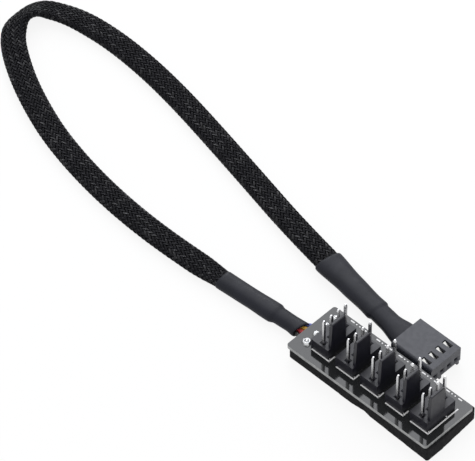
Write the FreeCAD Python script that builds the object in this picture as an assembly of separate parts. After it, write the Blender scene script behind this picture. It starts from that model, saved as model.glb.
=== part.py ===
# Fan hub: a small board with a row of four-pin fan headers on a foam pad, fed by one flat sleeved cable
# that comes back to a four-pin fan plug lying behind the board.
# Millimetres, +Z up. The foam pad stands on z = 0 and the origin is under the middle of the board.
# X runs along the board, away from the end where the cable is soldered on. Y runs across it, to the back.
import FreeCAD, Part
import math
import os

from FreeCAD import Vector

# Board and foam pad
BOARD_LENGTH = 46.4
BOARD_WIDTH = 17.3
BOARD_THICKNESS = 1.0
BOARD_CORNER_RADIUS = 0.8
PAD_THICKNESS = 4.0
PAD_LEFT_INSET = 0.4
PAD_BACK_OVERHANG = 0.6
PAD_OVERHANG = 0.57           # front part of the pad's right end, beyond the board
PAD_END_SKEW = 0.8            # that end was cut aslant, and is this much shorter at the back
PAD_END_SQUARE = 5.5          # length of it that is square, from the front
PAD_FRONT_LEFT_INSET = 0.85
PAD_FRONT_RIGHT_INSET = 0.05
PAD_NICK_INSET = 1.05         # where two cuts meet on the front edge
PAD_NICK_PLACE = 2.2
PAD_NICK_BEFORE = 3.7
PAD_NICK_AFTER = 2.3
PAD_CUT_INSET = 0.7           # front edge on either side of the nick
PAD_CORNER_RADIUS = 0.4
PAD_ROOM = 0.5                # room that the pad leaves round solder and wires

# Fan headers
HEADER_COUNT = 5
FIRST_HEADER_INSET = 8.0      # first pin row from the board's wired end
LAST_HEADER_INSET = 5.6       # last pin row from the board's other end
HEADER_END = 1.27             # housing beyond its first and last pin
HEADER_DEPTH_BEFORE = 3.15    # housing from the pin row to its open side
HEADER_DEPTH_BEHIND = 2.6     # housing from the pin row to the outside of its wall
HEADER_BASE_HEIGHT = 3.2
HEADER_EDGE = 0.25
WALL_HEIGHT = 7.75            # friction wall above the housing's base
WALL_WIDTH = 5.4
WALL_THICKNESS = 1.15
WALL_LEAN = 0.3               # the wall's outer face leans in by this much at its top
WALL_UNDERCUT = 0.3           # the wall's inner face is this much further out at its root
WALL_FRONT_DRAFT = 0.7        # the wall narrows by this much at its free front edge
WALL_BACK_DRAFT = 0.1
RECESS_SIZE = 1.5             # bevelled recess round each pin
RECESS_DEPTH = 0.5

# Pins
PIN_COUNT = 4
PIN_PITCH = 2.54
PIN_SIZE = 0.64
PIN_HEIGHT = 11.3             # tip above the board
PIN_TAIL = 1.5                # end below the board
PIN_TIP_SIZE = 0.34
PIN_TIP_LENGTH = 0.7
PIN_ROOM = 0.02               # between a pin and the moulding that holds it
PIN_HOLE_ROOM = 0.06          # between a pin's corners and its hole in the board
PIN_SOLDER_FLARE = 0.4        # width of the solder ring at the board
PIN_SOLDER_HEIGHT = 1.0
SOLDER_ROOM = 0.01            # solder meets metal with this film between the solids

# Wires
WIRE_COLOURS = ("black", "red", "yellow", "blue")
WIRE_DIAMETER = 1.1
WIRE_GAP = 0.05
CONDUCTOR_DIAMETER = 0.6
CONDUCTOR_HOLE_ROOM = 0.15
CONDUCTOR_STUB = 1.0          # conductor above the board
WIRE_HOLE_PITCH = 3.5
WIRE_HOLE_INSET = 3.2         # wire holes from the board's end
WIRE_HOLE_MIDDLE_Y = 0.55
WIRE_SOLDER_FLARE = 0.7
WIRE_SOLDER_HEIGHT = 0.8

# Cable: flat braided sleeve and the two heat-shrink tubes
SLEEVE_WALL = 0.45
SLEEVE_SIDE_ROOM = 0.72
SLEEVE_SQUEEZED_ROOM = 0.15   # the same inside a heat-shrink tube
SLEEVE_TOP_ROOM = 0.28
SLEEVE_TAPER = 8.0            # length over which the sleeve widens after the tube at the board
SHRINK_WALL = 0.3
SHRINK_ROOM = 0.06
FLOOR_ROOM = 0.05
BOARD_SHRINK_LENGTH = 25.5
BOARD_SHRINK_NARROW = 8.5     # part of it that holds bare wires
PLUG_SHRINK_LENGTH = 32.5
PLUG_SHRINK_NARROW = 10.0
SHRINK_STEP = 1.6             # length over which a tube steps down past the sleeve's end
SHRINK_SIDE_ROOM = 0.25
SHRINK_TOP_ROOM = 0.5
MOUTH_SETBACK = 1.5           # the wires are spread this far before the plug
MOUTH_PITCH = 2.2
ARC_SHARE = 0.45              # share of a run that each arc on it may take up
BEND_SHARE = 0.9              # the same for a wire's last bend, up into the board

# Corners of the cable's route over the floor, from the board round to the plug
ROUTE = [
    (-25.8, -0.55),
    (-54.4, -2.8),
    (-84.6, -3.1),
    (-111.7, 1.2),
    (-131.4, 8.5),
    (-145.2, 16.4),
    (-150.6, 21.8),
    (-152.0, 26.6),
    (-151.1, 30.9),
    (-147.8, 33.7),
    (-139.9, 36.5),
    (-125.7, 37.4),
    (-106.0, 35.3),
    (-78.2, 29.3),
    (-41.0, 20.7),
    (-4.85, 14.65),
]

# Plug
PLUG_LENGTH = 13.4
PLUG_END = 1.54               # housing beyond its first and last cavity
PLUG_HEIGHT = 4.8
PLUG_EDGE = 0.8               # rounded long edge on top
PLUG_CORNER = 0.2
PLUG_FACE_WALL = 1.2
CAVITY_WIDTH = 2.0
CAVITY_TALL = 3.0
CAVITY_FLOOR = 0.45           # moulding under a cavity
ENTRY_SIZE = 1.0
ENTRY_FUNNEL = 0.3
WINDOW_LENGTH = 2.7
WINDOW_WIDTH = 1.2
WINDOW_SETBACK = 1.7
RIB_HEIGHT = 1.0
RIB_WIDTH = 0.8
RIB_ROOM = 0.1                # between the ribs and a header's wall
MATING_ROOM = 0.1             # between the plug's underside and a header's wall
GROOVE_DEPTH = 0.5
GROOVE_HEIGHT = 1.1
GROOVE_ABOVE = 0.5            # groove above the underside

# Crimped terminals
TERMINAL_ROOM = 0.1           # between a terminal and its cavity
TERMINAL_SHEET = 0.25
TERMINAL_BOX_LENGTH = 4.6
TERMINAL_NECK = 0.8
TERMINAL_BARREL = 2.3
CRIMP_ROOM = 0.02
CONDUCTOR_CRIMPED = 0.6       # bare conductor past the insulation
TANG_WIDTH = 0.8
TANG_RISE = 1.2
TANG_ROOM = 0.2               # between the tang's end and the window

# Worked out from the sizes above
BOARD_BOTTOM = PAD_THICKNESS
BOARD_TOP = BOARD_BOTTOM + BOARD_THICKNESS
UP = Vector(0, 0, 1)
ALONG = Vector(1, 0, 0)
SQUARE = ((-1, -1), (1, -1), (1, 1), (-1, 1))
PIN_ROW_LENGTH = PIN_PITCH * (PIN_COUNT - 1)
PIN_CORNER = PIN_SIZE / math.sqrt(2)
HEADER_PITCH = (BOARD_LENGTH - FIRST_HEADER_INSET - LAST_HEADER_INSET) / (HEADER_COUNT - 1)
HEADER_MIDDLE_X = (FIRST_HEADER_INSET - LAST_HEADER_INSET) / 2
WIRE_COUNT = len(WIRE_COLOURS)
WIRE_PITCH = WIRE_DIAMETER + WIRE_GAP
WIRE_ROW = WIRE_PITCH * (WIRE_COUNT - 1) + WIRE_DIAMETER
SLEEVE_BORE_HEIGHT = WIRE_DIAMETER + 2 * SLEEVE_TOP_ROOM
FREE_BORE = (WIRE_ROW + 2 * SLEEVE_SIDE_ROOM, SLEEVE_BORE_HEIGHT)
SQUEEZED_BORE = (WIRE_ROW + 2 * SLEEVE_SQUEEZED_ROOM, SLEEVE_BORE_HEIGHT)
CABLE_HEIGHT = SLEEVE_BORE_HEIGHT / 2 + SLEEVE_WALL + SHRINK_ROOM + SHRINK_WALL + FLOOR_ROOM
PLUG_BACK, PLUG_MIDDLE_Y = ROUTE[-1]
CAVITY_MIDDLE = RIB_HEIGHT + CAVITY_FLOOR + CAVITY_TALL / 2
ENTRY_HEIGHT = RIB_HEIGHT + HEADER_DEPTH_BEHIND - WALL_THICKNESS - MATING_ROOM
WIRE_HOLE_X = WIRE_HOLE_INSET - BOARD_LENGTH / 2


def box_between(low, high):
    """Box with its lowest and highest corners at the two points."""
    size = high - low
    return Part.makeBox(size.x, size.y, size.z, low)


def closed(corners):
    """Closed outline through a list of corners."""
    return Part.makePolygon(corners + corners[:1])


def square_loop(size, x, y, z):
    """Closed square in a level plane, centred on a point."""
    half = size / 2
    return closed([Vector(x + sx * half, y + sy * half, z) for sx, sy in SQUARE])


def square_taper(low_size, high_size, x, y, low, high):
    """Upright square frustum."""
    return Part.makeLoft([square_loop(low_size, x, y, low), square_loop(high_size, x, y, high)], True, True)


def evenly(count, pitch, middle=0.0):
    """Places of a row of pieces about its middle."""
    return [middle + (i - (count - 1) / 2) * pitch for i in range(count)]


def rounded_outline(points, radius):
    """Closed level outline whose corners are rounded by arcs of one radius."""
    edges = []
    previous_end = None
    first_start = None
    count = len(points)
    for i in range(count):
        corner = points[i]
        back = (points[i - 1] - corner).normalize()
        ahead = (points[(i + 1) % count] - corner).normalize()
        half_turn = (math.pi - back.getAngle(ahead)) / 2
        trim = radius * math.tan(half_turn)
        middle = corner + (back + ahead).normalize() * radius * (1 / math.cos(half_turn) - 1)
        start = corner + back * trim
        end = corner + ahead * trim
        if previous_end is not None:
            edges.append(Part.LineSegment(previous_end, start).toShape())
        else:
            first_start = start
        edges.append(Part.Arc(start, middle, end).toShape())
        previous_end = end
    edges.append(Part.LineSegment(previous_end, first_start).toShape())
    return Part.Wire(edges)


def tangent_path(points, first_share=ARC_SHARE):
    """Straight runs joined by tangent arcs, each as large as its two runs allow, and the arcs' radii."""
    edges = []
    radii = []
    start = points[0]
    share = first_share
    for before, corner, after in zip(points, points[1:], points[2:]):
        back = before - corner
        ahead = after - corner
        trim = min(share * back.Length, ARC_SHARE * ahead.Length)
        share = ARC_SHARE
        back.normalize()
        ahead.normalize()
        half_turn = (math.pi - back.getAngle(ahead)) / 2
        radius = trim / math.tan(half_turn)
        middle = corner + (back + ahead).normalize() * radius * (1 / math.cos(half_turn) - 1)
        arc_start = corner + back * trim
        arc_end = corner + ahead * trim
        edges.append(Part.LineSegment(start, arc_start).toShape())
        edges.append(Part.Arc(arc_start, middle, arc_end).toShape())
        radii.append(radius)
        start = arc_end
    edges.append(Part.LineSegment(start, points[-1]).toShape())
    return Part.Wire(edges), radii


def flat_loop(width, height, centre, forward):
    """Upright outline of a flat cable: two level sides joined by half circles."""
    side = forward.cross(UP).normalize()
    radius = height / 2
    half = width / 2 - radius
    right_top = centre + side * half + UP * radius
    left_top = centre - side * half + UP * radius
    left_bottom = centre - side * half - UP * radius
    right_bottom = centre + side * half - UP * radius
    return Part.Wire([
        Part.LineSegment(right_top, left_top).toShape(),
        Part.Arc(left_top, centre - side * (half + radius), left_bottom).toShape(),
        Part.LineSegment(left_bottom, right_bottom).toShape(),
        Part.Arc(right_bottom, centre + side * (half + radius), right_top).toShape(),
    ])


def swept(path, loop):
    """Solid of a closed loop carried along a path."""
    return path.makePipeShell([loop], True, False)


def make_board():
    """Printed board with a round hole for each pin and each wire."""
    x = BOARD_LENGTH / 2
    y = BOARD_WIDTH / 2
    corners = [Vector(sx * x, sy * y, BOARD_BOTTOM) for sx, sy in SQUARE]
    outline = rounded_outline(corners, BOARD_CORNER_RADIUS)
    board = Part.Face(outline).extrude(UP * BOARD_THICKNESS)
    pin_hole = PIN_CORNER + PIN_HOLE_ROOM
    wire_hole = CONDUCTOR_DIAMETER / 2 + CONDUCTOR_HOLE_ROOM
    holes = [(row, pin, pin_hole) for row in header_rows() for pin in pin_places()]
    holes += [(WIRE_HOLE_X, y, wire_hole) for y in wire_hole_places()]
    drills = [Part.makeCylinder(r, BOARD_THICKNESS, Vector(x, y, BOARD_BOTTOM)) for x, y, r in holes]
    return board.cut(Part.makeCompound(drills))


def header_rows():
    """X of each header's row of pins."""
    return evenly(HEADER_COUNT, HEADER_PITCH, HEADER_MIDDLE_X)


def pin_places():
    """Y of each pin in a header."""
    return evenly(PIN_COUNT, PIN_PITCH)


def wall_middle():
    """Y of the middle of a header's wall, which is at the second pin."""
    return pin_places()[1]


def wire_hole_places():
    """Y of each wire's hole in the board."""
    return evenly(WIRE_COUNT, WIRE_HOLE_PITCH, WIRE_HOLE_MIDDLE_Y)


def make_pad():
    """Hand-cut foam pad, nicked in its front edge and cut away under the wires and the pins' solder."""
    left = PAD_LEFT_INSET - BOARD_LENGTH / 2
    right = BOARD_LENGTH / 2 + PAD_OVERHANG
    back = BOARD_WIDTH / 2 + PAD_BACK_OVERHANG
    front = -BOARD_WIDTH / 2
    outline = [
        Vector(left, front + PAD_FRONT_LEFT_INSET, 0),
        Vector(PAD_NICK_PLACE - PAD_NICK_BEFORE, front + PAD_CUT_INSET, 0),
        Vector(PAD_NICK_PLACE, front + PAD_NICK_INSET, 0),
        Vector(PAD_NICK_PLACE + PAD_NICK_AFTER, front + PAD_CUT_INSET, 0),
        Vector(right, front + PAD_FRONT_RIGHT_INSET, 0),
        Vector(right, front + PAD_END_SQUARE, 0),
        Vector(right - PAD_END_SKEW, back, 0),
        Vector(left, back, 0),
    ]
    pad = Part.Face(rounded_outline(outline, PAD_CORNER_RADIUS)).extrude(UP * PAD_THICKNESS)
    half_joint = PIN_CORNER + PIN_SOLDER_FLARE + PAD_ROOM
    half_row = PIN_ROW_LENGTH / 2 + half_joint
    depth = max(PIN_TAIL, PIN_SOLDER_HEIGHT) + PAD_ROOM
    for row in header_rows():
        low = Vector(row - half_joint, -half_row, PAD_THICKNESS - depth)
        pad = pad.cut(box_between(low, Vector(row + half_joint, half_row, PAD_THICKNESS)))
    half_wires = WIRE_HOLE_PITCH * (WIRE_COUNT - 1) / 2 + WIRE_DIAMETER / 2 + PAD_ROOM
    end = WIRE_HOLE_X + WIRE_DIAMETER / 2 + PAD_ROOM
    low = Vector(left, WIRE_HOLE_MIDDLE_Y - half_wires, 0)
    return pad.cut(box_between(low, Vector(end, WIRE_HOLE_MIDDLE_Y + half_wires, PAD_THICKNESS)))


def make_header(row):
    """Moulded housing of one header: base, friction wall on one side and a bevelled recess at each pin."""
    base_top = BOARD_TOP + HEADER_BASE_HEIGHT
    half = PIN_ROW_LENGTH / 2 + HEADER_END
    front = row - HEADER_DEPTH_BEFORE
    back = row + HEADER_DEPTH_BEHIND
    base = box_between(Vector(front, -half, BOARD_TOP), Vector(back, half, base_top))
    base = base.makeFillet(HEADER_EDGE, upright_edges(base, [front]))
    middle = wall_middle()
    low_y = middle - WALL_WIDTH / 2
    high_y = middle + WALL_WIDTH / 2
    inside = back - WALL_THICKNESS
    inside_root = inside + WALL_UNDERCUT
    root = [Vector(inside_root, low_y, base_top), Vector(back, low_y, base_top),
            Vector(back, high_y, base_top), Vector(inside_root, high_y, base_top)]
    top = base_top + WALL_HEIGHT
    low_head = low_y + WALL_FRONT_DRAFT
    high_head = high_y - WALL_BACK_DRAFT
    outside = back - WALL_LEAN
    head = [Vector(inside, low_head, top), Vector(outside, low_head, top),
            Vector(outside, high_head, top), Vector(inside, high_head, top)]
    wall = Part.makeLoft([closed(root), closed(head)], True, True)
    wall = wall.makeFillet(HEADER_EDGE, [e for e in wall.Edges if lowest(e) > top - HEADER_EDGE])
    housing = base.fuse(wall).removeSplitter()
    hole = PIN_SIZE + 2 * PIN_ROOM
    for y in pin_places():
        housing = housing.cut(square_taper(hole, hole, row, y, BOARD_TOP, base_top))
        housing = housing.cut(square_taper(hole, RECESS_SIZE, row, y, base_top - RECESS_DEPTH, base_top))
    return housing


def lowest(shape):
    """Height of a shape's lowest point."""
    return shape.BoundBox.ZMin


def upright_edges(shape, places):
    """Vertical edges of a shape that lie at given places along X."""
    upright = [e for e in shape.Edges if e.BoundBox.XLength + e.BoundBox.YLength < 1e-6]
    return [e for e in upright if any(abs(e.BoundBox.Center.x - x) < 1e-6 for x in places)]


def make_pin(x, y):
    """Square pin with a tapered tip, long enough to show under the board."""
    bottom = BOARD_BOTTOM - PIN_TAIL
    top = BOARD_TOP + PIN_HEIGHT
    shank = square_taper(PIN_SIZE, PIN_SIZE, x, y, bottom, top - PIN_TIP_LENGTH)
    tip = square_taper(PIN_SIZE, PIN_TIP_SIZE, x, y, top - PIN_TIP_LENGTH, top)
    return shank.fuse(tip).removeSplitter()


def make_pin_solder():
    """Solder cones round the pins under the board, one solid each."""
    outer = PIN_CORNER + PIN_SOLDER_FLARE
    inner = PIN_CORNER + SOLDER_ROOM + PIN_HOLE_ROOM
    bottom = BOARD_BOTTOM - PIN_SOLDER_HEIGHT
    hole = PIN_SIZE + 2 * SOLDER_ROOM
    cones = []
    for row in header_rows():
        for y in pin_places():
            cone = Part.makeCone(inner, outer, PIN_SOLDER_HEIGHT, Vector(row, y, bottom))
            cones.append(cone.cut(square_taper(hole, hole, row, y, bottom, BOARD_BOTTOM)))
    return Part.makeCompound(cones)


def make_wire_solder():
    """Solder mounds round the wires' conductors on top of the board, one solid each."""
    inner = CONDUCTOR_DIAMETER / 2 + SOLDER_ROOM
    outer = inner + WIRE_SOLDER_FLARE
    mounds = []
    for y in wire_hole_places():
        centre = Vector(WIRE_HOLE_X, y, BOARD_TOP)
        rim = centre + Vector(outer, 0, 0)
        crest = centre + Vector(inner, 0, WIRE_SOLDER_HEIGHT)
        foot = centre + Vector(inner, 0, 0)
        belly = centre + Vector(inner + WIRE_SOLDER_FLARE * math.cos(math.pi / 4), 0,
                                WIRE_SOLDER_HEIGHT * math.sin(math.pi / 4))
        profile = Part.Wire([
            Part.LineSegment(foot, rim).toShape(),
            Part.Arc(rim, belly, crest).toShape(),
            Part.LineSegment(crest, foot).toShape(),
        ])
        mounds.append(Part.Face(profile).revolve(centre, UP, 360))
    return Part.makeCompound(mounds)


def route_points():
    """Corners of the cable's route at the height of its middle."""
    return [Vector(x, y, CABLE_HEIGHT) for x, y in ROUTE]


def beside(points, offset):
    """The same route, moved sideways by an offset."""
    moved = []
    for i, corner in enumerate(points):
        before = points[max(i - 1, 0)]
        after = points[min(i + 1, len(points) - 1)]
        ways = [(b - a).normalize() for a, b in ((before, corner), (corner, after)) if (b - a).Length > 0]
        sides = [way.cross(UP) for way in ways]
        middle = sum(sides[1:], sides[0]).normalize()
        moved.append(corner + middle * (offset / middle.dot(sides[0])))
    return moved


def along(start, towards, distance):
    """Point at a distance from the start of a run."""
    return start + (towards - start).normalize() * distance


def cable_path():
    """Line of the cable's middle from the board to the plug, and the radii of its bends."""
    return tangent_path(route_points())


def place_on(path, distance):
    """Point and direction at a distance along a path."""
    edges = path.OrderedEdges
    for edge in edges[:-1]:
        if distance <= edge.Length:
            break
        distance -= edge.Length
    else:
        edge = edges[-1]
    place = edge.getParameterByLength(distance)
    return edge.valueAt(place), edge.tangentAt(place)


def stretch_of(path, start, end):
    """The part of a path between two distances along it."""
    edges = []
    for edge in path.OrderedEdges:
        low = max(start, 0)
        high = min(end, edge.Length)
        if low < high:
            limits = [edge.getParameterByLength(length) for length in (low, high)]
            edges.append(edge.Curve.toShape(*limits))
        start -= edge.Length
        end -= edge.Length
    return Part.Wire(edges)


def widened(bore, wall):
    """Width and height of a bore with a wall round it."""
    return bore[0] + 2 * wall, bore[1] + 2 * wall


def loft_along(path, stations):
    """Solid through flat-cable outlines of (distance, (width, height)) along a path."""
    return Part.makeLoft([flat_loop(*size, *place_on(path, s)) for s, size in stations], True, True)


def tube_places(length):
    """Where the tubes' sections change along the cable: three places at the board, two at the plug."""
    start = BOARD_SHRINK_NARROW + SHRINK_STEP
    mouth = BOARD_SHRINK_LENGTH
    return (start, (start + mouth) / 2, mouth,
            length - PLUG_SHRINK_LENGTH, length - PLUG_SHRINK_NARROW - SHRINK_STEP)


def make_sleeve():
    """Flat braided sleeve as a plain hollow tube, squeezed narrower inside the two heat-shrink tubes."""
    path, radii = cable_path()
    start, middle, mouth, plug_mouth, end = tube_places(path.Length)
    widest = mouth + SLEEVE_TAPER
    run = stretch_of(path, widest, plug_mouth)
    layers = []
    for wall in (SLEEVE_WALL, 0):
        free = widened(FREE_BORE, wall)
        squeezed = widened(SQUEEZED_BORE, wall)
        first = loft_along(path, [(start, squeezed), (middle, squeezed), (mouth, squeezed), (widest, free)])
        last = loft_along(path, [(plug_mouth, free), (end, squeezed)])
        loop = flat_loop(*free, *place_on(path, widest))
        body = swept(run, loop)
        layers.append(body.fuse([first, last]))
        print("sleeve run %.1f, volume %.1f, section times length %.1f"
              % (run.Length, body.Volume, Part.Face(loop).Area * run.Length))
    print("cable length %.1f, radii %s" % (path.Length, ", ".join("%.1f" % r for r in radii)))
    return layers[0].cut(layers[1]).removeSplitter()


def narrow_bore():
    """Bore of a heat-shrink tube where it holds the bare wires side by side."""
    return WIRE_ROW + 2 * SHRINK_SIDE_ROOM, WIRE_DIAMETER + 2 * SHRINK_TOP_ROOM


def over_sleeve(bore):
    """Bore of a heat-shrink tube over a sleeve with a given bore."""
    return widened(bore, SLEEVE_WALL + SHRINK_ROOM)


def shrink_tube(outlines):
    """Tube through (bore, (middle, direction)) outlines, with one wall all over."""
    outer = [flat_loop(*widened(bore, SHRINK_WALL), *place) for bore, place in outlines]
    inner = [flat_loop(*bore, *place) for bore, place in outlines]
    return Part.makeLoft(outer, True, True).cut(Part.makeLoft(inner, True, True))


def make_board_shrink():
    """Heat-shrink tube at the board: narrow over the wires, wider over the squeezed sleeve."""
    path = cable_path()[0]
    start, middle, mouth = tube_places(path.Length)[:3]
    narrow = narrow_bore()
    wide = over_sleeve(SQUEEZED_BORE)
    stations = [(0, narrow), (BOARD_SHRINK_NARROW, narrow), (start, wide), (middle, wide), (mouth, wide)]
    return shrink_tube([(bore, place_on(path, s)) for s, bore in stations])


def make_plug_shrink():
    """Heat-shrink tube at the plug: tapered over the sleeve, a neck, then a flare that meets the plug."""
    path = cable_path()[0]
    plug_mouth, sleeve_end = tube_places(path.Length)[3:]
    end = route_points()[-1]
    narrow = narrow_bore()
    flare = (MOUTH_PITCH * (WIRE_COUNT - 1) + WIRE_DIAMETER + 2 * SHRINK_SIDE_ROOM, narrow[1])
    lift = UP * (CAVITY_MIDDLE - CABLE_HEIGHT)
    return shrink_tube([
        (over_sleeve(FREE_BORE), place_on(path, plug_mouth)),
        (over_sleeve(SQUEEZED_BORE), place_on(path, sleeve_end)),
        (narrow, place_on(path, path.Length - PLUG_SHRINK_NARROW)),
        (flare, (end - ALONG * MOUTH_SETBACK + lift, ALONG)),
        (flare, (end + lift, ALONG)),
    ])


def make_wire(index):
    """One insulated wire from its hole in the board, through the cable, to its terminal in the plug."""
    row = beside(route_points(), evenly(WIRE_COUNT, WIRE_PITCH)[index])
    hole = Vector(WIRE_HOLE_X, wire_hole_places()[index], BOARD_BOTTOM)
    exit_run = (row[0] - row[1]).normalize()
    bend = Vector(hole.x, hole.y, CABLE_HEIGHT)
    leave = row[0] + exit_run * WIRE_DIAMETER
    cavity = Vector(PLUG_BACK, plug_places(PIN_PITCH)[index], CAVITY_MIDDLE)
    mouth = Vector(PLUG_BACK - MOUTH_SETBACK, plug_places(MOUTH_PITCH)[index], CAVITY_MIDDLE)
    neck = along(row[-1], row[-2], PLUG_SHRINK_NARROW)
    barrel_start = cavity.x + barrel_place()
    guide = Vector(barrel_start - TERMINAL_BARREL / 2, cavity.y, cavity.z)
    end = Vector(barrel_start + TERMINAL_BARREL, cavity.y, cavity.z)
    points = [hole, bend, leave, *row[1:-1], neck, mouth, guide, end]
    path, radii = tangent_path(points, BEND_SHARE)
    loop = Part.Wire(Part.makeCircle(WIRE_DIAMETER / 2, hole, UP))
    insulation = swept(path, loop)
    section = math.pi * WIRE_DIAMETER ** 2 / 4
    print("wire %d radii from %.1f, length %.1f, volume %.1f, section times length %.1f"
          % (index + 1, min(radii), path.Length, insulation.Volume, section * path.Length))
    conductor = CONDUCTOR_DIAMETER / 2
    stub = Part.makeCylinder(conductor, BOARD_THICKNESS + CONDUCTOR_STUB, hole)
    crimped = Part.makeCylinder(conductor, CONDUCTOR_CRIMPED, end, ALONG)
    return insulation.fuse([stub, crimped])


def plug_places(pitch):
    """Y of a row of wires at the plug, in the order of the pins: the first is at the back."""
    return evenly(WIRE_COUNT, -pitch, PLUG_MIDDLE_Y)


def barrel_place():
    """Start of a terminal's crimp barrel, from the plug's back."""
    terminal = TERMINAL_BARREL + TERMINAL_NECK + TERMINAL_BOX_LENGTH
    return PLUG_LENGTH - PLUG_FACE_WALL - TERMINAL_ROOM - terminal


def make_plug():
    """Plug housing with a cavity, window and pin entry for each terminal, and two guide ribs below."""
    half = PIN_ROW_LENGTH / 2 + PLUG_END
    front = PLUG_BACK + PLUG_LENGTH
    bottom = RIB_HEIGHT
    top = RIB_HEIGHT + PLUG_HEIGHT
    low_y = PLUG_MIDDLE_Y - half
    high_y = PLUG_MIDDLE_Y + half
    body = box_between(Vector(PLUG_BACK, low_y, bottom), Vector(front, high_y, top))
    level = [e for e in body.Edges if e.BoundBox.XLength > PLUG_LENGTH / 2]
    near_top = [e for e in level if e.BoundBox.Center.y < PLUG_MIDDLE_Y and lowest(e) > CAVITY_MIDDLE]
    others = [e for e in level if not any(e.isSame(n) for n in near_top)]
    body = body.makeFillet(PLUG_EDGE, near_top)
    body = body.makeFillet(PLUG_CORNER, [e for e in body.Edges if any(same_line(e, o) for o in others)])
    groove_low = bottom + GROOVE_ABOVE
    body = body.cut(box_between(Vector(PLUG_BACK + PLUG_FACE_WALL, low_y, groove_low),
                                Vector(front, low_y + GROOVE_DEPTH, groove_low + GROOVE_HEIGHT)))
    for y in rib_places():
        low = Vector(PLUG_BACK, y - RIB_WIDTH / 2, 0)
        rib = box_between(low, Vector(front, y + RIB_WIDTH / 2, bottom))
        feet = [e for e in rib.Edges if e.BoundBox.XLength > PLUG_LENGTH / 2 and lowest(e) < bottom / 2]
        body = body.fuse(rib.makeFillet(PLUG_CORNER, feet))
    body = body.removeSplitter()
    reach = Vector(0, CAVITY_WIDTH / 2, CAVITY_TALL / 2)
    inner_face = front - PLUG_FACE_WALL
    window_end = front - WINDOW_SETBACK
    for y in plug_places(PIN_PITCH):
        cavity = box_between(Vector(PLUG_BACK, y, CAVITY_MIDDLE) - reach,
                             Vector(inner_face, y, CAVITY_MIDDLE) + reach)
        window = box_between(Vector(window_end - WINDOW_LENGTH, y - WINDOW_WIDTH / 2, CAVITY_MIDDLE),
                             Vector(window_end, y + WINDOW_WIDTH / 2, top))
        body = body.cut(cavity).cut(window).cut(entry_hole(inner_face, front, y))
    return body


def same_line(edge, other):
    """Whether two straight edges lie on the same line along X."""
    gap = edge.BoundBox.Center - other.BoundBox.Center
    return abs(gap.y) < 1e-6 and abs(gap.z) < 1e-6 and edge.BoundBox.XLength > PLUG_LENGTH / 2


def entry_hole(inside, front, y):
    """Square pin entry through the plug's face, with a funnel at its mouth."""
    def loop(size, x):
        half = size / 2
        return closed([Vector(x, y + sy * half, ENTRY_HEIGHT + sz * half) for sy, sz in SQUARE])

    neck = front - ENTRY_FUNNEL
    straight = Part.makeLoft([loop(ENTRY_SIZE, inside), loop(ENTRY_SIZE, neck)], True, True)
    funnel = Part.makeLoft([loop(ENTRY_SIZE, neck), loop(ENTRY_SIZE + 2 * ENTRY_FUNNEL, front)], True, True)
    return straight.fuse(funnel)


def rib_places():
    """Y of the two ribs, which pass either side of a header's wall when the plug is on a header."""
    middle = PLUG_MIDDLE_Y - wall_middle()
    reach = WALL_WIDTH / 2 + RIB_ROOM + RIB_WIDTH / 2
    return [middle - reach, middle + reach]


def make_terminal(y):
    """Folded terminal: box for a pin with a sprung locking tang, a neck and a crimp barrel."""
    outer = Vector(0, CAVITY_WIDTH / 2 - TERMINAL_ROOM, CAVITY_TALL / 2 - TERMINAL_ROOM)
    inner = outer - Vector(0, TERMINAL_SHEET, TERMINAL_SHEET)
    barrel_start = PLUG_BACK + barrel_place()
    box_start = barrel_start + TERMINAL_BARREL + TERMINAL_NECK
    start = Vector(box_start, y, CAVITY_MIDDLE)
    end = Vector(box_start + TERMINAL_BOX_LENGTH, y, CAVITY_MIDDLE)
    box = box_between(start - outer, end + outer).cut(box_between(start - inner, end + inner))
    centre = Vector(barrel_start, y, CAVITY_MIDDLE)
    bore = Part.makeCylinder(WIRE_DIAMETER / 2 + CRIMP_ROOM, TERMINAL_BARREL, centre, ALONG)
    barrel = Part.makeCylinder(outer.y, TERMINAL_BARREL, centre, ALONG)
    neck_low = CAVITY_MIDDLE - outer.y
    neck = box_between(Vector(barrel_start, y - outer.y, neck_low),
                       Vector(box_start + TERMINAL_NECK, y + outer.y, neck_low + TERMINAL_SHEET))
    window_end = PLUG_BACK + PLUG_LENGTH - WINDOW_SETBACK
    hinge = window_end - TANG_ROOM
    tip = window_end - WINDOW_LENGTH + TANG_ROOM
    low_y = y - TANG_WIDTH / 2
    top = CAVITY_MIDDLE + outer.z
    thickness = TERMINAL_SHEET * (hinge - tip) / TANG_RISE
    tang = closed([
        Vector(hinge, low_y, top),
        Vector(tip, low_y, top + TANG_RISE),
        Vector(tip, low_y, top + TANG_RISE - TERMINAL_SHEET),
        Vector(hinge - thickness, low_y, top),
    ])
    tang = Part.Face(tang).extrude(Vector(0, TANG_WIDTH, 0))
    return box.fuse([neck.cut(bore), barrel.cut(bore), tang]).removeSplitter()


def make_all():
    """Every piece by its name."""
    pieces = {"board": make_board(), "foam_pad": make_pad()}
    for number, row in enumerate(header_rows(), 1):
        pieces["header_%d_housing" % number] = make_header(row)
        for pin, y in enumerate(pin_places(), 1):
            pieces["header_%d_pin_%d" % (number, pin)] = make_pin(row, y)
    pieces["pin_solder"] = make_pin_solder()
    pieces["wire_solder"] = make_wire_solder()
    for index, colour in enumerate(WIRE_COLOURS):
        pieces["wire_" + colour] = make_wire(index)
    pieces["cable_sleeve"] = make_sleeve()
    pieces["heat_shrink_board_end"] = make_board_shrink()
    pieces["heat_shrink_plug_end"] = make_plug_shrink()
    pieces["plug_housing"] = make_plug()
    for pin, y in enumerate(plug_places(PIN_PITCH), 1):
        pieces["plug_terminal_%d" % pin] = make_terminal(y)
    return pieces


os.makedirs("parts", exist_ok=True)
for name, shape in make_all().items():
    shape.exportStep("parts/%s.step" % name)
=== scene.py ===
import math

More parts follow.
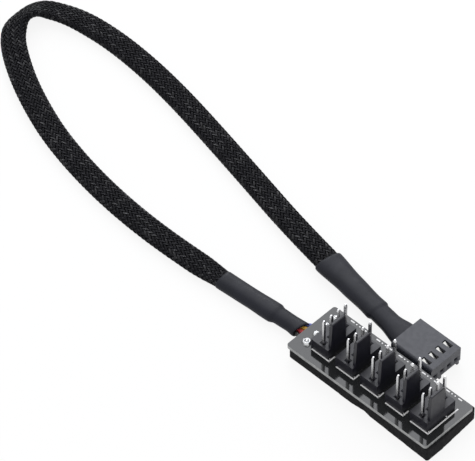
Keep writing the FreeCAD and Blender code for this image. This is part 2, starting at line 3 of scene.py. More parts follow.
import bpy
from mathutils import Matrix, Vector, noise


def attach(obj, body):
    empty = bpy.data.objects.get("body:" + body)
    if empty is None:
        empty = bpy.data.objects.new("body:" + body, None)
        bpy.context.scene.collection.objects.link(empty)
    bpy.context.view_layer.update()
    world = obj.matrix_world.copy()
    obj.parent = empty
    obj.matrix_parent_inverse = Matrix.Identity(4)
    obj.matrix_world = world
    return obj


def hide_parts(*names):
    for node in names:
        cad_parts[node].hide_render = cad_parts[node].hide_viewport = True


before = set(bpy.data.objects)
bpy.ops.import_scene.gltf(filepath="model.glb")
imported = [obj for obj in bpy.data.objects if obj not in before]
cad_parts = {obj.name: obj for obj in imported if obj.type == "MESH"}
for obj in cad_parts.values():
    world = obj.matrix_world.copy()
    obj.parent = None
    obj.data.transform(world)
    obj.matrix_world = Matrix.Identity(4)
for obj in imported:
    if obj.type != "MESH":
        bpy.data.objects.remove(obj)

# A plain length is in millimetres, and one times MM is in metres. Camera, floor and lights are in metres.
MM = 0.001
UP = Vector((0, 0, 1))
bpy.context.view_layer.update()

# Camera, fitted to the photograph
IMAGE_WIDTH = 475
FOCAL_PIXELS = 4797.43
SENSOR_WIDTH = 36.0
CAMERA_AZIMUTH = math.radians(44.090)
CAMERA_ELEVATION = math.radians(48.460)
CAMERA_DISTANCE = 1.2
CAMERA_TARGET = Vector((-57.73, 9.85, 5.0)) * MM

# Corners of the cable's route, from the board to the plug, with the height of its middle
ROUTE = [
    (-25.8, -0.55, 1.75),
    (-54.4, -2.8, 1.6),
    (-84.6, -3.1, 1.45),
    (-111.7, 1.2, 1.45),
    (-131.4, 8.5, 1.6),
    (-145.1, 16.3, 2.0),
    (-150.4, 21.6, 2.4),
    (-151.6, 26.2, 2.8),
    (-150.8, 30.6, 2.6),
    (-147.7, 33.6, 2.0),
    (-139.9, 36.5, 1.6),
    (-125.7, 37.4, 1.45),
    (-106.0, 35.3, 1.45),
    (-78.2, 29.3, 1.45),
    (-41.2, 20.5, 1.8),
    (-4.85, 14.65, 2.95),
]
ROUTE_DETAIL = 32

# Flat sleeve
SLEEVE_WIDTH = 6.95
SLEEVE_HEIGHT = 2.7
SLEEVE_ROUNDNESS = 2.7            # exponent of the section's oval: 2 is an ellipse
SLEEVE_START = 9.5 * MM
SLEEVE_END_GAP = 12.5 * MM
SLEEVE_SECTIONS = [               # distance along the route, then width and height
    (21.0, (5.0, 2.6)),
    (34.0, (SLEEVE_WIDTH, SLEEVE_HEIGHT)),
    (255.0, (SLEEVE_WIDTH, SLEEVE_HEIGHT)),
    (262.0, (6.4, 2.7)),
    (279.0, (5.2, 2.5)),
]
BANK = [                          # distance along the route, then tilt of the flat side in degrees
    (112.0, (0,)),
    (128.0, (14,)),
    (135.0, (36,)),
    (143.0, (10,)),
    (156.0, (0,)),
]
STRANDS = 18                      # in each of the two families that cross
STRAND_TURN = 26 * MM             # length over which a strand goes once round
STRAND_WIDTH = 0.8 * MM
STRAND_THICKNESS = 0.2 * MM
STRAND_WAVE = 0.12 * MM
STRAND_STEP = 0.45 * MM
STRAND_ACROSS = (0.0, 0.5, 1.0, 0.5)             # how far across the strand each corner of its section lies
WEAVE_LAG = 0.25                  # of a half wave, so that crossing strands pass over and under
SHINY_SHARE = 0.62                # share of the strands' passes that catch the light
CELL_MIDDLE = Vector((0.5, 0.5, 0.5))

# Wires, in their order at the board
WIRE_TONES = {
    "black": (0.012, 0.012, 0.012),
    "red": (0.62, 0.05, 0.06),
    "yellow": (0.85, 0.52, 0.08),
    "blue": (0.09, 0.12, 0.50),
}
WIRE_COLOURS = tuple(WIRE_TONES)
WIRE_SHADE = 0.8                  # darkest tone of a wire, as a share of its own
WIRE_RADIUS = 0.55 * MM
WIRE_PITCH = 1.15 * MM
WIRE_SIDES = 14
WIRE_STEP = 0.7 * MM
WIRE_START = 2.0 * MM             # along the route, where the fan at the board meets the run in the cable
WIRE_END_GAP = 10 * MM
WIRE_SPREAD_FROM = 8 * MM
WIRE_SPREAD_TO = 34 * MM
WIRE_HOLE_X = -20.0
WIRE_HOLE_Y = (-4.7, -1.2, 2.3, 5.8)
WIRE_BEND_HEIGHT = 1.75
WIRE_RISE = 0.6                   # straight end below the board
WIRE_BEND_LEAD = 1.6
WIRE_FAN_PITCH = 1.02 * MM        # the wires are pressed together in the tube at the board
WIRE_FAN_LEAD = 2.6
WIRE_FAN_DETAIL = 16
BOARD_BOTTOM = 4.0
BOARD_TOP = 5.0

# Heat-shrink tubes
SHRINK_WALL = 0.3 * MM
SHRINK_SIDES = 72
SHRINK_STEP = 0.4 * MM
SHRINK_LIP = 3                    # steps for which a tube's inside is made, at each end
SHRINK_RIM = 0.25                 # share of the wall that the rim's outer edge is rounded by
SHRINK_RIPPLE = 0.03 * MM
SHRINK_ROUNDNESS = 2.3
RIPPLE_SCALE = 260
PLUG_SIDE = Vector((0, -1, 0))    # width direction of the plug's back, which the tube's end turns to meet
PLUG_TURN = 6.0 * MM              # length over which it turns
BOARD_TUBE_START = -0.2           # its mouth, just before the route's first point
BOARD_TUBE_END = 25.4
MOUTH_SLANT = 0.7 * MM            # how far one side of that mouth reaches past its middle
MOUTH_REACH = 5.0 * MM            # length over which the slant runs out
BOARD_TUBE = [                    # distance from the tube's start, then width, height and sideways shift
    (0, (5.25, 2.9, -0.2)),
    (3.0, (4.8, 2.9, -0.05)),
    (7.1, (4.9, 3.0, 0.0)),
    (8.6, (5.95, 3.28, 0.0)),
    (16.2, (5.6, 3.25, 0.0)),
    (25.6, (5.75, 3.25, 0.0)),
]
PLUG_TUBE_LENGTH = 31.8
PLUG_TUBE = [
    (0, (7.95, 3.5, 0.0)),
    (10.0, (6.75, 3.5, 0.0)),
    (17.5, (6.25, 3.4, 0.0)),
    (20.4, (6.5, 3.45, 0.0)),
    (21.4, (5.65, 3.2, 0.0)),
    (25.0, (5.8, 3.1, 0.0)),
    (31.8, (7.9, 3.2, -0.2)),
]

# Light
WORLD_LIGHT = 0.78
FLOOR_SIZE = 4.0
FLOOR_COLOUR = (0.97, 0.97, 0.97)
FLOOR_SHADOW = 0.13
WHITE = (1, 1, 1, 1)
SOFTBOX_DIRECTION = (-0.4614, 0.4762, 0.7485)    # where a level surface mirrors it to the camera
SOFTBOX_DISTANCE = 1.3
SOFTBOX_SIZE = 0.9
SOFTBOX_RADIANCE = 2.05
SOFTBOX_COLOUR = (0.93, 0.95, 1.0)
RIM_DIRECTION = (-0.63, 0.65, 0.42)              # low behind the object, seen from the camera
RIM_DISTANCE = 1.2
RIM_SIZE = 0.32
RIM_RADIANCE = 9.0

# Header rows and printed lines on the board
HEADER_ROWS = (-15.2, -7.0, 1.2, 9.4, 17.6)
INK_HEIGHT = 0.025
INK_WIDTH = 0.36
INK_ROUND = 0.3                   # radius of a line's corners, as a share of its width
INK_CORNER_STEPS = 3
INK_FRONT_Y = -5.3
INK_FRONT_FROM = -2.6
INK_SIDE_X = 3.25
INK_SIDE_TO = 5.55                # the last header's side line; the others stop short
INK_SIDE_SHORT = -3.2
INK_TICKS = ((-4.6, 0.5), (1.85, 0.95))          # place along the side line, then length
INK_TICK_WIDTH = 0.7              # as a share of the other lines' width
INK_BACK_Y = 8.05
INK_DASHES = ((-3.0, -1.75), (1.0, 2.2))
INK_DOTS = (-1.05, 0.0)
INK_BACK_SHIFTS = (1.1, 1.5, 0.7, 0.2, 0.0)      # of the marks at each header's back
INK_DOT = 0.38

# Solder mounds, each with the end of its wire in the middle
MOUND_RADII = (1.25, 1.0, 1.05, 0.95)
MOUND_HEIGHT = 0.85
MOUND_SIDES = 28
MOUND_RINGS = 12
MOUND_ARCHES = (172, 125, 145, 145)              # degrees each top curves over, from its rim to the wire
MOUND_BUMP = 0.12
MOUND_BUMP_SCALE = 900
STUB_RADIUS = 0.3
STUB_TOP = 1.0
STUB_EDGE = 0.12                  # height of its worn edge
STUB_FLAT = 0.75                  # share of the radius inside that edge
STUB_HUB = 0.02
STUB_DIP = 0.05

# Foam and edges
FOAM_VOXEL = 0.22 * MM
FOAM_PORE = 0.03 * MM
FOAM_PORE_SCALE = 1500
FINE_PORE = 0.5                   # depth of the finer pores, as a share of the others'
FINE_PORE_SCALE = 2.3             # and how many times finer they are
FOAM_SOFTNESS = 0.5
FOAM_SOFTENING = 3
FOAM_SWELL = 0.15 * MM            # sideways, to make up for what softening takes off the edges
EDGE_BEVEL = 0.045 * MM
PIN_BEVEL = 0.07 * MM
EDGE_SEGMENTS = 2
EDGE_ANGLE = math.radians(40)

# Materials
COLOUR_DETAIL = 4.0
COLOUR_SPAN = (0.35, 0.65)        # part of the noise's range that two tones share
ROUGHNESS_DETAIL = 3.0
ROUGHNESS_SPAN = (0.3, 0.7)
LAMINATE_SPAN = (0.3, 0.7)
MASK_ROUGHNESS = 0.08
LAMINATE_ROUGHNESS = 0.65
EDGE_UPRIGHT = 0.5                # a face whose normal rises less than this is the board's edge
MIX_FIRST = 6                     # sockets of a colour mix, by number because their names repeat
MIX_SECOND = 7
MIX_RESULT = 2


def clamp01(x):
    return max(0.0, min(1.0, x))


def smooth(x):
    """Eased step from 0 to 1."""
    x = clamp01(x)
    return x * x * (3 - 2 * x)


def nurbs_points(name, controls, detail):
    """Points along a quadratic NURBS curve with these control points."""
    curve = bpy.data.curves.new(name, "CURVE")
    curve.dimensions = "3D"
    spline = curve.splines.new("NURBS")
    spline.points.add(len(controls) - 1)
    for point, control in zip(spline.points, controls):
        point.co = (*control, 1)
    spline.order_u = 3
    spline.use_endpoint_u = True
    spline.resolution_u = detail
    holder = bpy.data.objects.new(name, curve)
    mesh = bpy.data.meshes.new_from_object(holder)
    points = [v.co.copy() for v in mesh.vertices]
    bpy.data.objects.remove(holder)
    bpy.data.curves.remove(curve)
    bpy.data.meshes.remove(mesh)
    return points


class Line:
    """A curve's points, looked up by the length along it."""

    def __init__(self, points):
        self.points = points
        self.at = [0.0]
        for a, b in zip(points, points[1:]):
            self.at.append(self.at[-1] + (b - a).length)
        self.length = self.at[-1]

    def index(self, s):
        low, high = 0, len(self.at) - 2
        while low < high:
            middle = (low + high + 1) // 2
            if self.at[middle] <= s:
                low = middle
            else:
                high = middle - 1
        return low

    def point(self, s):
        i = self.index(s)
        share = (s - self.at[i]) / (self.at[i + 1] - self.at[i])
        return self.points[i].lerp(self.points[i + 1], share)

    def tangent(self, s, span=0.6 * MM):
        return (self.point(s + span) - self.point(s - span)).normalized()


def profile(stations, place):
    """Values eased between stations of (place, values)."""
    if place <= stations[0][0]:
        return stations[0][1]
    for (a, low), (b, high) in zip(stations, stations[1:]):
        if place <= b:
            share = smooth((place - a) / (b - a))
            return tuple(x + (y - x) * share for x, y in zip(low, high))
    return stations[-1][1]


def cable_frame(line, s):
    """Middle of the cable, its width direction and the way its flat side faces."""
    forward = line.tangent(s)
    level = forward.cross(UP).normalized()
    upright = level.cross(forward).normalized()
    tilt = math.radians(profile(BANK, s / MM)[0])
    side = level * math.cos(tilt) + upright * math.sin(tilt)
    face = upright * math.cos(tilt) - level * math.sin(tilt)
    return line.point(s), side, face


class Oval:
    """Rounded outline of a flat cable, looked up by the share of the way round it."""
    DETAIL = 240

    def __init__(self, width, height, roundness):
        self.half = (width / 2, height / 2)
        self.roundness = roundness
        corners = [self.corner(2 * math.pi * i / self.DETAIL) for i in range(self.DETAIL + 1)]
        self.line = Line([Vector((x, y, 0)) for x, y in corners])

    def corner(self, angle):
        power = 2 / self.roundness
        c = math.cos(angle)
        s = math.sin(angle)
        return (self.half[0] * math.copysign(abs(c) ** power, c),
                self.half[1] * math.copysign(abs(s) ** power, s))

    def at(self, turn):
        """Point on the outline and the outward direction there."""
        point = self.line.point((turn % 1.0) * self.line.length)
        slope = [math.copysign(abs(p / h) ** (self.roundness - 1), p) / h for p, h in zip(point, self.half)]
        return point, Vector((*slope, 0)).normalized()


def add_object(name, data):
    """New object in the scene."""
    made = bpy.data.objects.new(name, data)
    bpy.context.scene.collection.objects.link(made)
    return made


def add_piece(name, mesh):
    """New piece that rides on the object's one body."""
    piece = add_object(name, mesh)
    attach(piece, "root")
    return piece


def build_piece(name, verts, faces, smooth_shading=True):
    """New piece from points and faces."""
    mesh = bpy.data.meshes.new(name)
    mesh.from_pydata(verts, [], faces)
    mesh.validate()
    if smooth_shading:
        mesh.shade_smooth()
    return add_piece(name, mesh)


def tube_faces(base, rings, count):
    """Faces between neighbouring rings of count points, the first of which is point number base."""
    faces = []
    for i in range(rings - 1):
        low = base + i * count
        high = low + count
        for j in range(count):
            k = (j + 1) % count
            faces.append((low + j, low + k, high + k, high + j))
    return faces


def loft(name, rings, closed_ends=False):
    """Tube through rings of points."""
    verts = [p for ring in rings for p in ring]
    count = len(rings[0])
    faces = tube_faces(0, len(rings), count)
    if closed_ends:
        faces.append(tuple(reversed(range(count))))
        faces.append(tuple(range((len(rings) - 1) * count, len(rings) * count)))
    return build_piece(name, verts, faces)


def round_rings(points, radius, sides):
    """Rings of a round tube along points, turned as little as possible from one to the next."""
    rings = []
    side = None
    for i, point in enumerate(points):
        forward = (points[min(i + 1, len(points) - 1)] - points[max(i - 1, 0)]).normalized()
        if side is None:
            side = forward.orthogonal().normalized()
        side = (side - forward * side.dot(forward)).normalized()
        up = forward.cross(side)
        angles = [2 * math.pi * k / sides for k in range(sides)]
        rings.append([point + (side * math.cos(a) + up * math.sin(a)) * radius for a in angles])
    return rings


def add_camera():
    """Camera where the photograph was taken from."""
    data = bpy.data.cameras.new("camera")
    data.sensor_width = SENSOR_WIDTH
    data.lens = SENSOR_WIDTH * FOCAL_PIXELS / IMAGE_WIDTH
    camera = add_object("camera", data)
    back = Vector((math.sin(CAMERA_AZIMUTH) * math.cos(CAMERA_ELEVATION),
                   -math.cos(CAMERA_AZIMUTH) * math.cos(CAMERA_ELEVATION),
                   math.sin(CAMERA_ELEVATION)))
    camera.location = CAMERA_TARGET + back * CAMERA_DISTANCE
    camera.rotation_euler = (-back).to_track_quat("-Z", "Y").to_euler()
    bpy.context.scene.camera = camera


def strand_course(family, strand, places, frames, ovals):
    """One strand's middle points, the outward direction at each and how much that pass shines."""
    middles = []
    outs = []
    shines = []
    for s, (centre, side, face), oval in zip(places, frames, ovals):
        run = s - places[0]
        crossing = 2 * STRANDS * run / STRAND_TURN
        point, out = oval.at(strand / STRANDS + family * run / STRAND_TURN)
        phase = math.pi * (crossing / 2 - family * WEAVE_LAG + strand)
        lift = family * STRAND_WAVE * math.cos(phase)
        half_wave = math.floor(phase / math.pi + 0.5)
        chance = noise.cell(Vector((strand, family, half_wave)) + CELL_MIDDLE)
        shines.append(clamp01((chance - 1 + SHINY_SHARE) / SHINY_SHARE))
        outward = side * out.x + face * out.y
        middles.append(centre + side * point.x + face * point.y + outward * lift)
        outs.append(outward)
    return middles, outs, shines


def build_sleeve(line):
    """Braided sleeve: two families of flat strands that pass over two and under two of each other."""
    start = SLEEVE_START
    end = line.length - SLEEVE_END_GAP
    count = round((end - start) / STRAND_STEP)
    places = [start + (end - start) * i / count for i in range(count + 1)]
    frames = [cable_frame(line, s) for s in places]
    inset = STRAND_WAVE + STRAND_THICKNESS / 2
    ovals = []
    for s in places:
        width, height = profile(SLEEVE_SECTIONS, s / MM)
        ovals.append(Oval(width * MM - 2 * inset, height * MM - 2 * inset, SLEEVE_ROUNDNESS))
    corners = len(STRAND_ACROSS)
    verts = []
    faces = []
    across = []
    sheen = []
    for family in (1, -1):
        for strand in range(STRANDS):
            middles, outs, shines = strand_course(family, strand, places, frames, ovals)
            for i, (middle, outward, shine) in enumerate(zip(middles, outs, shines)):
                forward = (middles[min(i + 1, count)] - middles[max(i - 1, 0)]).normalized()
                flank = outward.cross(forward).normalized() * (STRAND_WIDTH / 2)
                crown = outward * (STRAND_THICKNESS / 2)
                base = len(verts)
                verts += [middle - flank, middle + crown, middle + flank, middle - crown]
                across += STRAND_ACROSS
                sheen += [shine] * corners
                if i < count:
                    for j in range(corners):
                        k = (j + 1) % corners
                        faces.append((base + j, base + corners + j, base + corners + k, base + k))
    piece = build_piece("cable_sleeve_braid", verts, faces)
    for name, values in (("across", across), ("sheen", sheen)):
        layer = piece.data.attributes.new(name, "FLOAT", "POINT")
        layer.data.foreach_set("value", values)
    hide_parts("cable_sleeve")
    return piece, [line.point(s) for s in places]


def build_shrink(name, node, line, start, end, stations, slant=0.0, end_side=None):
    """Heat-shrink tube on a stretch of the cable; its mouth may be slanted and its end turned to a side."""
    count = round((end - start) / SHRINK_STEP)
    places = [start + (end - start) * i / count for i in range(count + 1)]

    def ring(s, inset, ripple):
        centre, side, face = cable_frame(line, s)
        if end_side:
            side = side.lerp(end_side, smooth((s - end) / PLUG_TURN + 1)).normalized()
        width, height, shift = (v * MM for v in profile(stations, (s - start) / MM))
        oval = Oval(width - 2 * inset, height - 2 * inset, SHRINK_ROUNDNESS)
        points = []
        for j in range(SHRINK_SIDES):
            place, out = oval.at(j / SHRINK_SIDES)
            point = centre + side * (place.x + shift) + face * place.y
            outward = side * out.x + face * out.y
            reach = slant * smooth(1 - (s - start) / MOUTH_REACH) * place.x / oval.half[0]
            point += side.cross(face) * reach
            points.append(point + outward * noise.noise(point * RIPPLE_SCALE) * ripple)
        return points

    rings = [ring(s, SHRINK_WALL, 0) for s in reversed(places[1:SHRINK_LIP + 1])]
    rings.append(ring(places[0], SHRINK_WALL, 0))
    rings.append(ring(places[0], SHRINK_WALL * SHRINK_RIM, 0))
    rings += [ring(s, 0, SHRINK_RIPPLE) for s in places[1:-1]]
    rings.append(ring(places[-1], SHRINK_WALL * SHRINK_RIM, 0))
    rings.append(ring(places[-1], SHRINK_WALL, 0))
    rings += [ring(s, SHRINK_WALL, 0) for s in reversed(places[-SHRINK_LIP - 1:-1])]
    piece = loft(name, rings)
    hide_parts(node)
    return piece


def build_wires(line):
    """Four wires: turned up into the board at one end, side by side in the cable."""
    pieces = []
    end = line.length - WIRE_END_GAP
    count = round((end - WIRE_START) / WIRE_STEP)
    middle = (len(WIRE_COLOURS) - 1) / 2
    for i, colour in enumerate(WIRE_COLOURS):
        inside = []
        for j in range(count + 1):
            s = WIRE_START + (end - WIRE_START) * j / count
            centre, side, _ = cable_frame(line, s)
            spread = smooth((s - WIRE_SPREAD_FROM) / (WIRE_SPREAD_TO - WIRE_SPREAD_FROM))
            pitch = WIRE_FAN_PITCH + (WIRE_PITCH - WIRE_FAN_PITCH) * spread
            inside.append(centre + side * (i - middle) * pitch)
        way = (inside[0] - inside[1]).normalized()
        hole = Vector((WIRE_HOLE_X, WIRE_HOLE_Y[i], 0)) * MM
        bend = hole + UP * WIRE_BEND_HEIGHT * MM
        fan = [
            hole + UP * BOARD_BOTTOM * MM,
            hole + UP * (BOARD_BOTTOM - WIRE_RISE) * MM,
            bend,
            bend - Vector((WIRE_BEND_LEAD * MM, 0, 0)),
            inside[0] + way * WIRE_FAN_LEAD * MM,
            inside[0],
        ]
        points = nurbs_points("fan", fan, WIRE_FAN_DETAIL)[:-1] + inside
        rings = round_rings(points, WIRE_RADIUS, WIRE_SIDES)
        piece = loft("wire_%s_insulated" % colour, rings, closed_ends=True)
        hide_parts("wire_" + colour)
        pieces.append(piece)
    return pieces


def build_mounds():
    """Bright solder mounds on the board, each round the cut end of its wire."""
    verts = []
    faces = []
    for hole_y, mound_radius, arch in zip(WIRE_HOLE_Y, MOUND_RADII, MOUND_ARCHES):
        centre = Vector((WIRE_HOLE_X, hole_y, BOARD_TOP)) * MM
        outline = []
        for i in range(MOUND_RINGS):
            share = i / (MOUND_RINGS - 1)
            radius = mound_radius + (STUB_RADIUS - mound_radius) * share
            outline.append((radius, MOUND_HEIGHT * math.sin(share * math.radians(arch))))
        outline += [
            (STUB_RADIUS, STUB_TOP - STUB_EDGE),
            (STUB_RADIUS * STUB_FLAT, STUB_TOP),
            (STUB_HUB, STUB_TOP - STUB_DIP),
        ]
        base = len(verts)
        for radius, height in outline:
            for j in range(MOUND_SIDES):
                angle = 2 * math.pi * j / MOUND_SIDES
                point = Vector((math.cos(angle), math.sin(angle), 0)) * radius * MM
                bump = 1 + MOUND_BUMP * noise.noise((centre + point) * MOUND_BUMP_SCALE)
                verts.append(centre + point * bump + UP * height * bump * MM)
        faces += tube_faces(base, len(outline), MOUND_SIDES)
        faces.append(tuple(range(len(verts) - MOUND_SIDES, len(verts))))
    piece = build_piece("wire_solder_mounds", verts, faces)
    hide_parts("wire_solder")
    return piece


def ink_marks():
    """Printed lines as (low x, high x, low y, high y)."""
    half = INK_WIDTH / 2
    marks = []
    for row, shift in zip(HEADER_ROWS, INK_BACK_SHIFTS):
        side = row + INK_SIDE_X
        side_to = INK_SIDE_TO if row == HEADER_ROWS[-1] else INK_SIDE_SHORT
        marks.append((row + INK_FRONT_FROM, side + half, INK_FRONT_Y - half, INK_FRONT_Y + half))
        marks.append((side - half, side + half, INK_FRONT_Y, side_to))
        for y, length in INK_TICKS:
            if y < side_to:
                marks.append((side - length, side, y - half * INK_TICK_WIDTH, y + half * INK_TICK_WIDTH))
        for low, high in INK_DASHES:
            marks.append((row + shift + low, row + shift + high, INK_BACK_Y - half, INK_BACK_Y + half))
        for x in INK_DOTS:
            middle = row + shift + x
            marks.append((middle - INK_DOT / 2, middle + INK_DOT / 2, INK_BACK_Y - half, INK_BACK_Y + half))
    return marks


def build_ink():
    """White printed outlines and dashes, as a thin raised film with rounded ends."""
    verts = []
    faces = []
    for low_x, high_x, low_y, high_y in ink_marks():
        radius = min(high_x - low_x, high_y - low_y) * INK_ROUND
        outline = []
        for x, y, turn in ((high_x, high_y, 0), (low_x, high_y, 1), (low_x, low_y, 2), (high_x, low_y, 3)):
            centre_x = x - radius if x == high_x else x + radius
            centre_y = y - radius if y == high_y else y + radius
            for step in range(INK_CORNER_STEPS + 1):
                angle = math.pi / 2 * (turn + step / INK_CORNER_STEPS)
                corner_x = centre_x + radius * math.cos(angle)
                corner_y = centre_y + radius * math.sin(angle)
                outline.append((corner_x, corner_y))
        base = len(verts)
        count = len(outline)
        for height in (BOARD_TOP, BOARD_TOP + INK_HEIGHT):
            verts += [Vector((x, y, height)) * MM for x, y in outline]
        faces += tube_faces(base, 2, count)
        faces.append(tuple(range(base + count, base + 2 * count)))
    piece = build_piece("board_ink_lines", verts, faces, smooth_shading=False)
    return piece


def build_foam():
    """Foam block: the pad's form, with soft edges and a fine open surface."""
    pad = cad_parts["foam_pad"]
    holder = add_object("foam_holder", pad.data.copy())
    remesh = holder.modifiers.new("even", "REMESH")
    remesh.mode = "VOXEL"
    remesh.voxel_size = FOAM_VOXEL
    settle = holder.modifiers.new("settle", "SHRINKWRAP")
    settle.target = pad
    soften = holder.modifiers.new("soften", "SMOOTH")
    soften.factor = FOAM_SOFTNESS
    soften.iterations = FOAM_SOFTENING
    ready = holder.evaluated_get(bpy.context.evaluated_depsgraph_get())
    mesh = bpy.data.meshes.new_from_object(ready)
    bpy.data.objects.remove(holder)
    normals = [v.normal.copy() for v in mesh.vertices]
    for vertex, normal in zip(mesh.vertices, normals):
        place = vertex.co * FOAM_PORE_SCALE
        depth = noise.noise(place) + FINE_PORE * noise.noise(place * FINE_PORE_SCALE)
        vertex.co += normal * depth * FOAM_PORE
        vertex.co += Vector((normal.x, normal.y, 0)) * FOAM_SWELL
        vertex.co.z = max(vertex.co.z, 0)
    mesh.shade_smooth()
    piece = add_piece("foam_block", mesh)
    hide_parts("foam_pad")
    return piece


def soften_edges(node, width):
    """Rounded edges on a moulded or drawn piece."""
    bevel = node.modifiers.new("edges", "BEVEL")
    bevel.width = width
    bevel.segments = EDGE_SEGMENTS
    bevel.limit_method = "ANGLE"
    bevel.angle_limit = EDGE_ANGLE
    bevel.harden_normals = True


def material(name, colour, roughness, metallic=0.0, ior=1.5, specular=0.5):
    """New material with a shader of one colour, and its node tree."""
    made = bpy.data.materials.new(name)
    made.use_nodes = True
    tree = made.node_tree
    shader = tree.nodes["Principled BSDF"]
    shader.inputs["Base Color"].default_value = (*colour, 1)
    shader.inputs["Roughness"].default_value = roughness
    shader.inputs["Metallic"].default_value = metallic
    shader.inputs["IOR"].default_value = ior
    shader.inputs["Specular IOR Level"].default_value = specular
    made.diffuse_color = (*colour, 1)
    return made, tree, shader


def math_socket(tree, operation, value, number=None, other=None):
    """Result of a calculation with a socket and, if one is given, a number or another socket."""
    node = tree.nodes.new("ShaderNodeMath")
    node.operation = operation
    tree.links.new(value, node.inputs[0])
    if number is not None:
        node.inputs[1].default_value = number
    if other is not None:
        tree.links.new(other, node.inputs[1])
    return node.outputs["Value"]


def range_socket(tree, value, low, high, span=(0.0, 1.0)):
    """Socket that goes from low to high as a value crosses a span."""
    node = tree.nodes.new("ShaderNodeMapRange")
    node.inputs["From Min"].default_value = span[0]
    node.inputs["From Max"].default_value = span[1]
    node.inputs["To Min"].default_value = low
    node.inputs["To Max"].default_value = high
    tree.links.new(value, node.inputs["Value"])
    return node.outputs["Result"]


def tone_socket(tree, value, low, high, span=(0.0, 1.0)):
    """Socket that goes from one tone to another as a value crosses a span."""
    ramp = tree.nodes.new("ShaderNodeValToRGB")
    for element, position, tone in zip(ramp.color_ramp.elements, span, (low, high)):
        element.position = position
        element.color = (*tone, 1)
    tree.links.new(value, ramp.inputs["Fac"])
    return ramp.outputs["Color"]


def noise_socket(tree, scale, detail):
    """Noise that is fixed to the object."""
    place = tree.nodes.new("ShaderNodeTexCoord")
    cloud = tree.nodes.new("ShaderNodeTexNoise")
    cloud.inputs["Scale"].default_value = scale
    cloud.inputs["Detail"].default_value = detail
    tree.links.new(place.outputs["Object"], cloud.inputs["Vector"])
    return cloud.outputs["Fac"]


def attribute_socket(tree, name):
    """A value that the mesh carries at its points."""
    node = tree.nodes.new("ShaderNodeAttribute")
    node.attribute_name = name
    return node.outputs["Fac"]


def seen_or_mirrored(tree):
    """Socket that is 1 for rays from the camera, from a mirror-like surface or through a clear one."""
    path = tree.nodes.new("ShaderNodeLightPath")
    result = path.outputs["Is Camera Ray"]
    for name in ("Is Glossy Ray", "Is Transmission Ray"):
        result = math_socket(tree, "MAXIMUM", result, other=path.outputs[name])
    return result


def add_world():
    """White surroundings: full white where they are seen or mirrored, softer as light."""
    world = bpy.data.worlds.new("surroundings")
    bpy.context.scene.world = world
    world.use_nodes = True
    tree = world.node_tree
    background = tree.nodes["Background"]
    background.inputs["Color"].default_value = WHITE
    strength = range_socket(tree, seen_or_mirrored(tree), WORLD_LIGHT, 1.0)
    tree.links.new(strength, background.inputs["Strength"])


def add_floor():
    """Pale floor that looks white and keeps a faint shadow."""
    half = FLOOR_SIZE / 2
    corners = [(-half, -half, 0), (half, -half, 0), (half, half, 0), (-half, half, 0)]
    mesh = bpy.data.meshes.new("floor")
    mesh.from_pydata(corners, [], [(0, 1, 2, 3)])
    floor = add_object("floor", mesh)
    made, tree, shader = material("floor_paper", FLOOR_COLOUR, roughness=0.9)
    glow = tree.nodes.new("ShaderNodeEmission")
    glow.inputs["Color"].default_value = WHITE
    share = math_socket(tree, "MULTIPLY", seen_or_mirrored(tree), number=1 - FLOOR_SHADOW)
    mix = tree.nodes.new("ShaderNodeMixShader")
    tree.links.new(share, mix.inputs["Fac"])
    tree.links.new(shader.outputs["BSDF"], mix.inputs[1])
    tree.links.new(glow.outputs["Emission"], mix.inputs[2])
    tree.links.new(mix.outputs["Shader"], tree.nodes["Material Output"].inputs["Surface"])
    mesh.materials.append(made)


def add_softbox(name, direction, distance, size, radiance):
    """Square soft light that faces the object from a direction."""
    data = bpy.data.lights.new(name, "AREA")
    data.shape = "SQUARE"
    data.size = size
    data.energy = radiance * math.pi * size * size
    data.color = SOFTBOX_COLOUR
    lamp = add_object(name, data)
    away = Vector(direction).normalized()
    lamp.location = CAMERA_TARGET + away * distance
    lamp.rotation_euler = away.to_track_quat("Z", "Y").to_euler()


def add_bump(tree, shader, height, strength, distance):
    """Relief in the surface of a material."""
    bump = tree.nodes.new("ShaderNodeBump")
    bump.inputs["Strength"].default_value = strength
    bump.inputs["Distance"].default_value = distance
    tree.links.new(height, bump.inputs["Height"])
    tree.links.new(bump.outputs["Normal"], shader.inputs["Normal"])


def noise_bump(tree, shader, scale, strength, distance, detail=2.0):
    """Fine noise in the surface of a material."""
    add_bump(tree, shader, noise_socket(tree, scale, detail), strength, distance)


def vary_roughness(tree, shader, scale, low, high):
    """Roughness that wanders between two values."""
    cloud = noise_socket(tree, scale, ROUGHNESS_DETAIL)
    roughness = range_socket(tree, cloud, low, high, ROUGHNESS_SPAN)
    tree.links.new(roughness, shader.inputs["Roughness"])


def vary_colour(tree, shader, scale, low, high):
    """Colour that wanders between two tones."""
    cloud = noise_socket(tree, scale, COLOUR_DETAIL)
    tone = tone_socket(tree, cloud, low, high, COLOUR_SPAN)
    tree.links.new(tone, shader.inputs["Base Color"])


def moulded_plastic(name, low, high, roughness, grain_scale):
    """Satin moulded plastic with a fine grain."""
    made, tree, shader = material(name, high, roughness)
    vary_colour(tree, shader, scale=420, low=low, high=high)
    vary_roughness(tree, shader, scale=900, low=roughness - 0.06, high=roughness + 0.06)
    noise_bump(tree, shader, grain_scale, strength=0.25, distance=0.02 * MM)
    return made


def bright_metal(name, colour, roughness):
    """Plated metal with a faint grain."""
    made, tree, shader = material(name, colour, roughness, metallic=1.0)
    vary_roughness(tree, shader, scale=2500, low=roughness - 0.06, high=roughness + 0.1)
    noise_bump(tree, shader, scale=5000, strength=0.12, distance=0.01 * MM)
    return made


